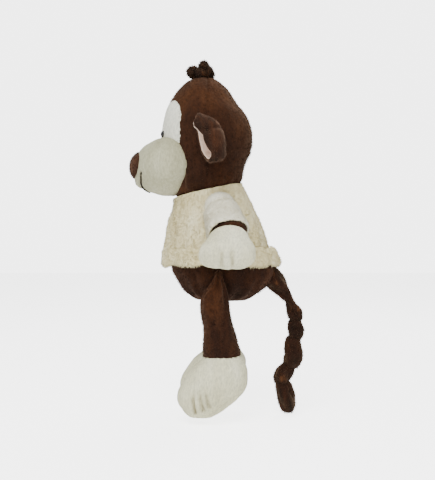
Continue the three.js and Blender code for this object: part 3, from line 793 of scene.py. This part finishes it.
def make_mouth(muzzle):
    x = np.linspace(-MOUTH_HALF, MOUTH_HALF, STITCHES + 1)
    z = mouth_height(x)
    line = np.stack([x, muzzle_front(muzzle, x, z), z], axis=-1)
    out = unit((line - MUZZLE_CENTRE) / MUZZLE_HALF**2)
    parts = []
    for k in range(STITCHES):
        parts.append(stitch_parts(line[k], line[k + 1], out[k]))
    piece = closed_piece("mouth_stitches", joined(*parts), THREAD)
    worn(piece, "head", "thread", "mouth_stitching")


EYE_RADIUS = 3.9
EYE_FLAT = 0.62  # depth of the dome as a share of its radius
EYE_TURN = 18  # degrees outwards


def make_eyes():
    for name, side in SIDES:
        low, high = box(f"eye_{name}")
        front = np.array([(low[0] + high[0]) / 2, low[1], (low[2] + high[2]) / 2])
        ball = ball_points(np.linspace(0.03, math.pi / 2 + 0.5, 24), 40)
        flat = np.array([1.0, EYE_FLAT, 1.0]) * EYE_RADIUS
        turn = math.radians(EYE_TURN * side)
        cosine, sine = math.cos(turn), math.sin(turn)
        spin = np.array([[cosine, -sine, 0], [sine, cosine, 0], [0, 0, 1]])
        grid = (ball * flat) @ spin.T + front + np.array([0, EYE_RADIUS * EYE_FLAT + 1.0, -2.0])
        piece = closed_piece(f"eye_dome_{name}", closed_parts(grid), EYE)
        worn(piece, "head", "eye", f"eye_{name}")


TUFT_LOBES = [  # [centre in Y, Z], [half width, half depth, half height]
    [[-27, 258.5], [8.5, 9.5, 6.5]],
    [[-34, 261], [6.5, 7, 6.3]],
    [[-23, 267], [6, 4.8, 6.3]],
    [[-16.8, 260.5], [6.5, 5.3, 7]],
]


def make_tuft():
    polar = np.linspace(0.05, math.pi - 0.05, 34)
    angle = np.linspace(0, 2 * math.pi, 48, endpoint=False)
    ring = np.sin(polar)[:, None]
    sphere = np.stack([ring * np.cos(angle), ring * np.sin(angle), np.cos(polar)[:, None] + 0 * angle], -1)
    parts = []
    for seed, ((y, z), half) in enumerate(TUFT_LOBES):
        grid = sphere * np.array(half) + np.array([0, y, z])
        grid = plush(grid, 62 + seed, lumps=0.5, folds=1.1, nap=0.7)
        parts.append(closed_parts(grid))
        parts.append(spikes(grid, 1100, 2.3, 0.36, (0, 0, 0), 66 + seed))
    piece = closed_piece("hair_pile", joined(*parts), TUFT)
    worn(piece, "head", "tuft_pile", "hair_tuft")


# ---------------------------------------------------------------- ears
EAR_LEAN = 0.25  # the ear's top leans forward by this share of its height
EAR_MIDDLE = 176.0
EAR_EDGE = [  # [share of the half height, how far back] of the cup's outer edge, from the lobe up
    [-0.95, 1.0], [-0.8, 4.0], [-0.6, 4.5], [-0.35, 1.0], [-0.1, -1.5],
    [0.15, -1.0], [0.35, -4.5], [0.5, -8.5], [0.7, -8.0], [0.9, -5.0],
]
EAR_ROWS = [  # [distance, half width, half height]
    [0, 1, 2], [0.8, 5, 10], [3.5, 9.2, 17.5], [9, 12.4, 22.4], [17, 13.9, 25], [25, 14, 25.4],
]


def ear_grid(side, count, around):
    low, high = box(f"ear_back_{'left' if side > 0 else 'right'}")
    base = np.array([62.5 * side, high[1], 176.0])
    mouth = np.array([69.5 * side, low[1] + 2.5, 178.0])
    direction = unit(mouth - base)
    along = unit(np.cross(direction, (0.0, 0.0, 1.0)))
    across = np.cross(along, direction)
    full = spline(EAR_ROWS, count)
    grid = loft(base + full[:, :1] * direction, np.tile(along, (count, 1)), np.tile(across, (count, 1)),
                full[:, 1], full[:, 2], around)
    height = (grid[..., 2] - EAR_MIDDLE) / EAR_ROWS[-1][2]
    grid[..., 1] -= EAR_LEAN * (grid[..., 2] - EAR_MIDDLE)
    outward = np.clip((grid[..., 0] - grid.mean(axis=1, keepdims=True)[..., 0]) * side / 10, 0, 1)
    forward = (full[:, :1] / EAR_ROWS[-1][0]) ** 2
    edge = np.array(EAR_EDGE)
    grid[..., 1] += outward * forward * np.interp(height, edge[:, 0], edge[:, 1])
    grid[..., 1] += 3.0 * np.clip(-0.5 - height, 0, 0.5) * 2
    fold = groove(height - 0.52 + 0.25 * forward, 2.0, 0.09) * np.clip(outward * 2, 0, 1)
    return push(grid, fold)


def make_ears():
    for name, side in SIDES:
        outer = ear_grid(side, 50, 96)
        rim = push(outer, 1.3 * np.exp(-(((np.arange(50)[:, None] - 46) / 3.0) ** 2)) + 0 * outer[..., 0])
        shell = push(outer, np.full(outer.shape[:2], -2.4))[2:]
        lip = (rim[-1] + shell[-1]) / 2 + 0.7 * unit(outer[-1] - outer[-3])
        back = plush(np.concatenate([rim, lip[None], shell[::-1]]), 71, lumps=0.5, folds=0.4, nap=0.22)
        pile = spikes(rim, 1500, 1.3, 0.3, DOWN, 72)
        piece = closed_piece(f"ear_{name}", joined(closed_parts(back), pile), EAR)
        padded(piece, "head", [f"ear_back_{name}"], f"ear_{name}")
        lining_outer = push(outer, np.full(outer.shape[:2], -2.0))[3:]
        lining_inner = push(outer, np.full(outer.shape[:2], -3.4))[5:]
        lining = plush(np.concatenate([lining_outer, lining_inner[::-1]]), 73, lumps=0.3, folds=0.3, nap=0.2)
        inside = closed_piece(f"ear_inside_{name}", closed_parts(lining), LINING)
        padded(inside, "head", [f"ear_lining_{name}"], f"ear_{name}")


# ---------------------------------------------------------------- body and shirt
BODY_ROWS = [
    [0, 0, 4, 5],
    [0.2, 0, 19, 24],
    [2.4, -1.3, 27, 31],
    [7.4, -0.2, 33.5, 39.3],
    [14, 0.5, 39.5, 47.5],
    [25, 1.4, 44.5, 55],
    [36, -0.3, 47, 58.3],
    [50, -1.5, 48, 57],
    [62, -7.2, 46.5, 52],
    [75, -9.5, 44.5, 49.5],
    [90, -11.2, 41.5, 45.5],
    [104, -13, 36, 39, 4],
    [114, -15, 28, 30, 10],
]


def make_body():
    grid = stack(BODY_ROWS, 120, 200)
    low = np.clip((40 - grid[..., 2]) / 30, 0, 1)
    angle = np.arctan2(grid[..., 1], np.abs(grid[..., 0]) + 1e-6)
    creases = 1.0 * low * np.sin(angle * 13 + 2.5 * noise(grid, 22, 81))
    creases *= np.clip(grid[..., 2] / 6, 0, 1)
    centre_seam = groove(grid[..., 0], 0.9, 1.3) * np.clip(grid[..., 2] / 6, 0, 1)
    grid = stuffed(grid, lambda points: points[:, 2] < 3)
    grid = plush(push(grid, creases + centre_seam), 82, lumps=0.8, folds=0.4, nap=0.3)
    grid[..., 2] = np.maximum(grid[..., 2], 0.0)
    shown = (grid[..., 2] > 8) & (grid[..., 2] < 60)
    piece = furred("body_plush", grid, BROWN, 5000, 1.6, 0.33, DOWN, 83, where=shown)
    padded(piece, "torso", ["body_cover", "body_stuffing"])


SHIRT_ROWS = [
    [52, -7, 56.5, 60.8],
    [60, -8.2, 55.6, 59.2],
    [72, -8.9, 53.5, 56],
    [86, -10.6, 51, 52.8],
    [102, -12.7, 47.5, 47, 3],
    [112, -14.7, 44.3, 42.8, 8],
]
COLLAR_ROW = [125.2, -18.4, 39.2, 39.2, HEAD_TILT]
SHIRT_SEAM = -15.0
SHIRT_CLOTH = 2.2  # thickness of the cloth
ARMHOLE = 22.5  # radius of the seam that the sleeve is sewn to


def shirt_grid(count=90, around=220):
    grid = stack(SHIRT_ROWS + [COLLAR_ROW], count, around)
    angle = np.arctan2(grid[..., 1] + 10, grid[..., 0])
    low = np.clip((105 - grid[..., 2]) / 60, 0, 1)
    drape = 1.5 * low * np.sin(angle * 9 + 2.0 * noise(grid, 45, 91)) + 0.7 * low * np.sin(angle * 21)
    seam = groove(grid[..., 1] - SHIRT_SEAM - 0.08 * (grid[..., 2] - 90), 1.3, 1.7)
    seam *= np.clip(np.abs(grid[..., 0]) / 20 - 1, 0, 1)
    to_arm = np.hypot(grid[..., 1] - SHOULDER[1], grid[..., 2] - SHOULDER[2] + 4)
    armhole = groove(to_arm - ARMHOLE, 2.2, 3.0) * (np.abs(grid[..., 0]) > 25)
    grid = push(grid, drape + seam + armhole)
    return plush(grid, 92, lumps=0.9, folds=0.7, nap=0.35)


def make_shirt():
    grid = shirt_grid()
    columns = grid.shape[1]
    half = columns // 2
    inner = push(grid, np.full(grid.shape[:2], -SHIRT_CLOTH))
    for name, first in (("front", half), ("back", 0)):
        chosen = np.arange(first, first + half + 1) % columns
        pick = np.zeros(columns)
        pick[chosen] = 1.0
        outer_part = grid[:, chosen]
        inner_part = inner[:, chosen]
        strip = np.concatenate([outer_part, inner_part[:, ::-1]], axis=1)
        piece = closed_piece(f"shirt_{name}_panel", closed_parts(strip), SHIRT)
        worn(piece, "torso", "shirt_plush", f"shirt_{name}")
        area = np.cross(np.diff(outer_part, axis=0)[:, :-1], np.diff(outer_part, axis=1)[:-1])
        area = np.linalg.norm(area, axis=-1).sum()
        near = np.tile(pick, (grid.shape[0], 1))
        pile = spikes(grid, 8000, 1.6, 0.45, DOWN * 1.2, 93 + first, where=near)
        fluff = mesh_object(f"shirt_{name}_pile", *pile, SHIRT)
        worn(fluff, "torso", "shirt_plush")


HEM_ROWS = [  # round the section of the band, from inside the top edge over the outside to the bottom
    [57.5, -5.6, 56.0, 59.5],
    [59.6, -5.8, 57.0, 60.3],
    [57.8, -5.2, 58.8, 62.2],
    [52, -4.2, 60.0, 64.4],
    [46, -3.5, 60.8, 66.0],
    [43, -3.3, 60.6, 66.4],
    [41.0, -3.2, 58.6, 64.6],
    [43, -3.2, 56.6, 62.4],
    [50, -4.0, 55.8, 60.8],
]


def make_hem():
    grid = stack(HEM_ROWS, 64, 260)
    angle = np.arctan2(grid[..., 1] + 4, grid[..., 0])
    grid = push(grid, 1.0 * np.sin(angle * 9 + 1.0) + 0.5 * np.sin(angle * 23 + 2 * noise(grid, 30, 101)))
    grid = plush(grid, 102, lumps=0.8, folds=0.8, nap=0.45)
    columns = grid.shape[1]
    for name, side in SIDES:
        first = -columns // 4 if side > 0 else columns // 4
        chosen = np.arange(first, first + columns // 2 + 1) % columns
        part = grid[:, chosen]
        piece = closed_piece(f"shirt_hem_{name}", bar_parts(part), HEM)
        pick = np.zeros(columns)
        pick[chosen] = 1.0
        near = np.tile(pick, (grid.shape[0], 1))
        pile = spikes(grid, 6000, 1.9, 0.5, DOWN * 0.9, 103 + side, where=near)
        fluff = mesh_object(f"hem_pile_{name}", *pile, HEM)
        for item in (piece, fluff):
            worn(item, "torso", "shirt_plush")
            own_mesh(item)
        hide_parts("shirt_hem")


def bar_parts(part):
    """A curved bar from a grid whose rows go round its section and whose columns go along it."""
    rows, columns = part.shape[:2]
    points = np.concatenate([part.reshape(-1, 3), part.mean(axis=0)[[0, -1]]])
    faces = []
    for r in range(rows):
        n = (r + 1) % rows
        for c in range(columns - 1):
            faces.append((r * columns + c, r * columns + c + 1, n * columns + c + 1, n * columns + c))
        faces.append((rows * columns, r * columns, n * columns))
        faces.append((rows * columns + 1, n * columns + columns - 1, r * columns + columns - 1))
    return points, faces


# ---------------------------------------------------------------- arms
SLEEVE_ROWS = [  # [distance from the shoulder, half thickness, half width]
    [2, 15, 16.5], [12, 19.6, 20.4], [22, 20, 21.2], [31, 20.2, 22], [39, 20.8, 23], [42.2, 19.8, 22],
]
ARM_ROWS = [[22, 14, 16], [30, 16, 18], [38, 17, 19], [44, 17, 19], [46.6, 14, 16], [47.2, 2, 3]]
HAND_ROWS = [  # [distance from the wrist, half thickness, half width]
    [0, 8, 10], [1.5, 15, 17], [5, 17.2, 19.6], [11, 17.8, 22.4], [18, 18.8, 26.2],
    [26, 19.6, 28.6], [34, 18.6, 27.4], [38, 15.2, 22.8], [40.6, 9.2, 14.5], [41.8, 2, 3],
]
FINGER_LINES = (-8.5, 6.0)  # millimetres across the hand from its middle
KNUCKLES = 0.62  # share of the hand's length where the fingers part
THUMB = 3.2  # millimetres that the thumb stands out
HAND_TIP = (100.5, 3.5, 42)
CAP_ROWS = [  # [distance from the cap's base, half thickness, half width] of the gathered shoulder
    [-17.5, 2, 2], [-16, 8, 8], [-11, 15, 15], [-3, 19.6, 19.6], [5, 20.6, 20.6], [12, 18.6, 18.6],
    [15, 12, 12], [19, 4, 4],
]
CAP_WAY = (0.86, 0.1, -0.5)
CAP_BACK = 3.0
CAP_SHARE = 0.86


def mirrored(place, side):
    """A place on the left side, or its mirror image for side -1."""
    return np.asarray(place, float) * np.array([side, 1, 1])


def finger_grooves(grid):
    """Two lines of stitches part the fingers, and the thumb stands out in front."""
    rows, columns = grid.shape[:2]
    part = np.linspace(0, 1, rows)[:, None]
    angle = np.linspace(0, 2 * math.pi, columns, endpoint=False)[None, :]
    across = np.sin(angle)
    reach = np.interp(part, np.linspace(0, 1, len(HAND_ROWS)), [row[2] for row in HAND_ROWS])
    depth = np.clip((part - KNUCKLES) / 0.12, 0, 1)
    thumb = THUMB * np.exp(-(((across + 0.95) / 0.25) ** 2) - ((part - KNUCKLES) / 0.12) ** 2)
    return thumb + sum(groove(across * reach - place, 3.0, 2.8) * depth for place in FINGER_LINES)


def make_arm(name, side):
    shoulder = mirrored(SHOULDER, side)
    wrist = mirrored(WRIST, side)
    hand_end = mirrored(HAND_TIP, side)
    sleeve = spindle(shoulder, wrist, SLEEVE_ROWS, 50, 120)
    sleeve = plush(sleeve, 111 + side, lumps=1.0, folds=0.7, nap=0.35)
    piece = closed_piece(f"sleeve_cloth_{name}", sleeve_parts(sleeve, SHIRT_CLOTH), SLEEVE)
    pile = spikes(sleeve, 3600, 1.5, 0.42, DOWN * 1.1, 113 + side)
    fluff = mesh_object(f"sleeve_pile_{name}", *pile, SLEEVE)
    worn(piece, f"arm_{name}", "shirt_plush", f"sleeve_{name}")
    worn(fluff, f"arm_{name}", "shirt_plush")

    arm = plush(spindle(shoulder, wrist, ARM_ROWS, 40, 120), 115 + side, lumps=0.5, folds=0.3, nap=0.3)
    band = furred(f"arm_plush_{name}", arm, BROWN, 900, 1.5, 0.33, DOWN, 117 + side)
    padded(band, f"arm_{name}", [f"arm_cover_{name}", f"arm_stuffing_{name}"])

    out = unit(mirrored(CAP_WAY, side))
    cap = spindle(shoulder - CAP_BACK * out, shoulder + 10 * out, CAP_ROWS, 40, 90)
    cap = shoulder + (cap - shoulder) * CAP_SHARE
    cap = plush(cap, 119 + side, lumps=0.4, folds=0.3, nap=0.3)
    root = furred(f"shoulder_cap_{name}", cap, SLEEVE, 2200, 1.5, 0.42, DOWN * 1.1, 125 + side)
    padded(root, f"shoulder_{name}", [f"arm_root_{name}"])

    hand = spindle(wrist, hand_end, HAND_ROWS, 90, 130)
    full_hand = stuffed(hand, lambda points: np.linalg.norm(points - wrist, axis=1) < 6)
    hand = push(full_hand, finger_grooves(hand))
    hand = plush(hand, 121 + side, lumps=1.0, folds=0.4, nap=0.22)
    mitten = closed_piece(f"hand_plush_{name}", closed_parts(hand), CREAM)
    padded(mitten, f"arm_{name}", [f"hand_cover_{name}", f"hand_stuffing_{name}"],
           f"hand_{name}")


# ---------------------------------------------------------------- legs
LEG_ROWS = [  # [height, centre in Y, half width, half depth, tilt, centre in X]
    [37, -5.8, 2, 1, 0, 52],
    [35, -5.8, 5, 2.4, 0, 51.5],
    [26, -6.3, 9, 4.8, 0, 50.5],
    [17, -7.5, 12.5, 9.0, 0, 49],
    [5, -10, 15.5, 14.4, 0, 46.5],
    [-8, -9.5, 16.5, 15.4, 0, 44],
    [-22, -7, 17, 15.7, 0, 42],
    [-38, -4.5, 18, 17.5, 0, 40.5],
    [-54, -2.2, 19, 20.2, 0, 40],
    [-58.5, -2, 18.6, 19.8, 3, 40],
    [-60, -2, 15, 16, 3, 40],
    [-60.4, -2, 4, 4, 3, 40],
]
FOOT_ROWS = [  # [height, centre in Y, half width, half depth, tilt]
    [-55, -2, 5, 5, 3], [-55.8, -2, 16.5, 18, 3], [-58.5, -2, 19, 20.6, 3], [-63, -2.4, 20.6, 23.6, 2],
    [-70, -3.8, 22.7, 29.4], [-81, -7.4, 24.4, 33.9], [-96, -14.4, 25, 36.6], [-109, -20, 23.4, 31.2],
    [-118.5, -23.2, 18.3, 21.6], [-124.5, -26.5, 11, 12.5], [-126.6, -28, 3, 4],
]
TOE_LINES = [  # [Y, Z] of the three toe creases and of the edge of the sole, each with its depth
    ([[-33.5, -90], [-34, -104], [-31, -119]], 4.6),
    ([[-26.5, -91], [-25.5, -104], [-22, -116]], 4.2),
    ([[-20, -92], [-18.5, -103], [-15.5, -112]], 3.8),
    ([[-29, -124], [-14, -118], [0, -109], [10, -101]], 1.6),
]
TOE_TOP = -88  # the creases fade out below this height


def leg_folds(grid, seed):
    """Long soft folds that run down from the pinched top."""
    rows, columns = grid.shape[:2]
    part = np.linspace(0, 1, rows)[:, None]
    angle = np.linspace(0, 2 * math.pi, columns, endpoint=False)[None, :]
    strength = np.clip(part / 0.1, 0, 1) * np.clip((0.75 - part) / 0.5, 0, 1)
    return 1.1 * strength * np.sin(angle * 7 + 2.2 * noise(grid, 28, seed))


def make_leg(name, side):
    rows = [row[:5] + [row[5] * side] for row in LEG_ROWS]
    leg = stack(rows, 130, 120)
    leg = stuffed(leg, lambda points: points[:, 2] > 24)
    leg = plush(push(leg, leg_folds(leg, 131 + side)), 133 + side, lumps=1.0, folds=0.45, nap=0.3)
    piece = furred(f"leg_plush_{name}", leg, BROWN, 4200, 1.6, 0.33, DOWN, 135 + side)
    padded(piece, f"leg_{name}", [f"leg_cover_{name}", f"leg_stuffing_{name}"])

    ankle = mirrored(ANKLE, side)
    foot = stack(FOOT_ROWS, 120, 150, x=ankle[0])
    foot = stuffed(foot, lambda points: points[:, 2] > ankle[2] - 3)
    fade = np.clip((TOE_TOP - foot[..., 2]) / 14, 0, 1)
    for line, depth in TOE_LINES:
        foot = push(foot, groove(line_distance(foot[..., 1:], line), depth, 1.7) * fade)
    foot = plush(foot, 137 + side, lumps=1.0, folds=0.35, nap=0.22)
    shoe = closed_piece(f"foot_plush_{name}", closed_parts(foot), CREAM)
    padded(shoe, f"leg_{name}", [f"foot_cover_{name}", f"foot_stuffing_{name}"],
           f"foot_{name}")


# ---------------------------------------------------------------- tail
TAIL_LUMPS = [  # [Y, Z, half width] down each lump, from pinch to pinch
    [[50, 30, 12.5], [57.5, 23.5, 11.2], [64, 17, 9.8], [70.2, 9, 7], [75.2, 0, 4.8], [76.6, -3, 3]],
    [[73.5, 3, 3.2], [75.2, 0, 4.6], [79.5, -8, 6.6], [82.3, -14.5, 7.9], [82.8, -21, 7.2], [82.2, -25, 4.5]],
    [[82.6, -21, 4], [82.2, -24, 6.6], [82.9, -31, 8.2], [82, -38, 7.9], [80.3, -43, 6.4], [80, -45, 4]],
    [[80.6, -40, 4], [80.3, -43, 7], [79.5, -53.6, 9.3], [79, -65, 10.4], [76, -74, 8.6], [74, -79, 4]],
    [[76.5, -72, 4.5], [74, -77, 8.2], [68.3, -85, 9.3], [67.4, -92, 8.8], [67.8, -97, 6]],
    [[67.2, -90, 6], [67.6, -95, 8.4], [70.2, -106, 9.5], [73.4, -117, 8.8], [75, -125, 6.6],
     [75.6, -128.6, 1.5]],
]
TAIL_TWIST = 4.8  # radians that the twist creases turn along a lump
TAIL_CREASE = 1.6  # depth of the twist creases


def make_tail():
    for index, rows in enumerate(TAIL_LUMPS):
        count, around = 46, 84
        full = spline(rows, count)
        centres = np.stack([0 * full[:, 0], full[:, 0], full[:, 1]], axis=1)
        heading = unit(np.gradient(centres, axis=0))
        along = np.tile([1.0, 0.0, 0.0], (count, 1))
        grid = loft(centres, along, np.cross(heading, along), full[:, 2], full[:, 2], around)
        part = np.linspace(0, 1, count)[:, None]
        angle = np.linspace(0, 2 * math.pi, around, endpoint=False)[None, :]
        twist = np.sin(3 * angle + TAIL_TWIST * part + index)
        grid = push(grid, TAIL_CREASE * twist * np.sin(math.pi * part))
        grid = plush(grid, 141 + index, lumps=0.9, folds=0.5, nap=0.3)
        piece = furred(f"tail_plush_{index + 1}", grid, TAIL, 1000, 1.5, 0.33, DOWN, 151 + index)
        above = "torso" if index == 0 else f"tail_{index}"
        padded(piece, above, [f"tail_lump_{index + 1}"], f"tail_{index + 1}")


def finish_cad_nodes():
    """The inner pieces that stay as CAD solids get their fibre and plastic."""
    finishes = {"neck_stuffing": FIBRE, "eye_washer_left": WASHER, "eye_washer_right": WASHER}
    for node, material in finishes.items():
        for slot in frame["nodes"][node].material_slots:
            slot.material = material


make_camera()
make_stage()
make_hood()
make_face()
muzzle_surface = make_muzzle()
make_nose(muzzle_surface)
make_mouth(muzzle_surface)
make_eyes()
make_tuft()
make_ears()
make_body()
make_shirt()
make_hem()
for side_name, side_sign in SIDES:
    make_arm(side_name, side_sign)
    make_leg(side_name, side_sign)
make_tail()
finish_cad_nodes()
